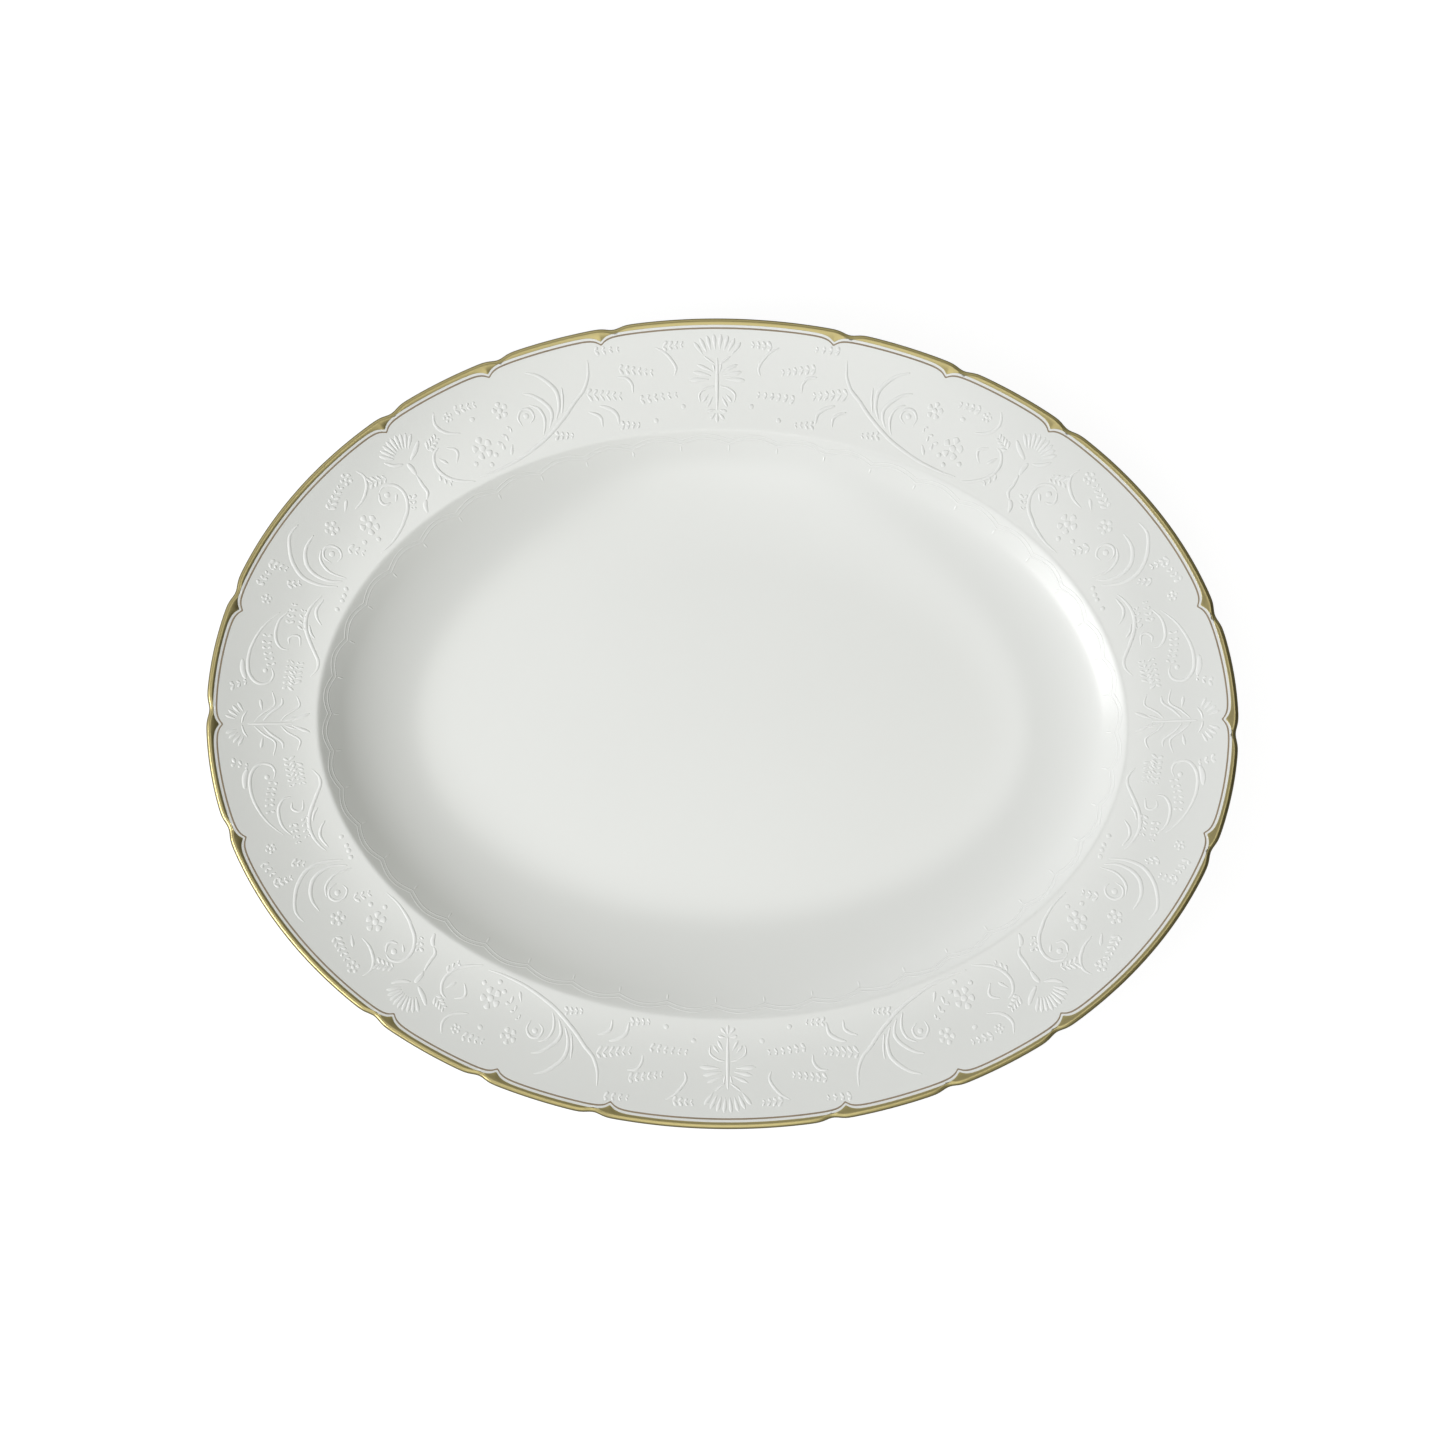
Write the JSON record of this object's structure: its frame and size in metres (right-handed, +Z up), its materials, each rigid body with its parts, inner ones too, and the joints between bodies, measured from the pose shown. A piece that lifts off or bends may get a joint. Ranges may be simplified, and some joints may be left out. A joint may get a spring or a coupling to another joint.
{
  "type": "serving platter",
  "caption": "Oval scalloped serving platter in glazed white porcelain with a gilt lip, a fine gilt line and a raised white scroll and blossom pattern on its rim.",
  "frame": {"origin": "middle of the foot ring, on the plane the platter rests on", "axes": "+Z up out of the well, +X along the long axis, +Y along the short axis"},
  "size_m": [0.3546, 0.2788, 0.0267],
  "materials": {
    "porcelain": "matte unglazed",
    "glaze": "gloss",
    "gilding": "burnished gold",
    "dull_gilding": "matte taupe gold",
    "white_enamel": "gloss"
  },
  "bodies": {
    "root": {"porcelain_body": "porcelain", "glaze_coat": "glaze", "gilt_edge_band": "gilding", "gilt_hairline": "dull_gilding", "scroll_relief": "white_enamel", "palmette_relief": "white_enamel", "flower_relief": "white_enamel", "shoulder_border_relief": "white_enamel"}
  },
  "joints": []
}
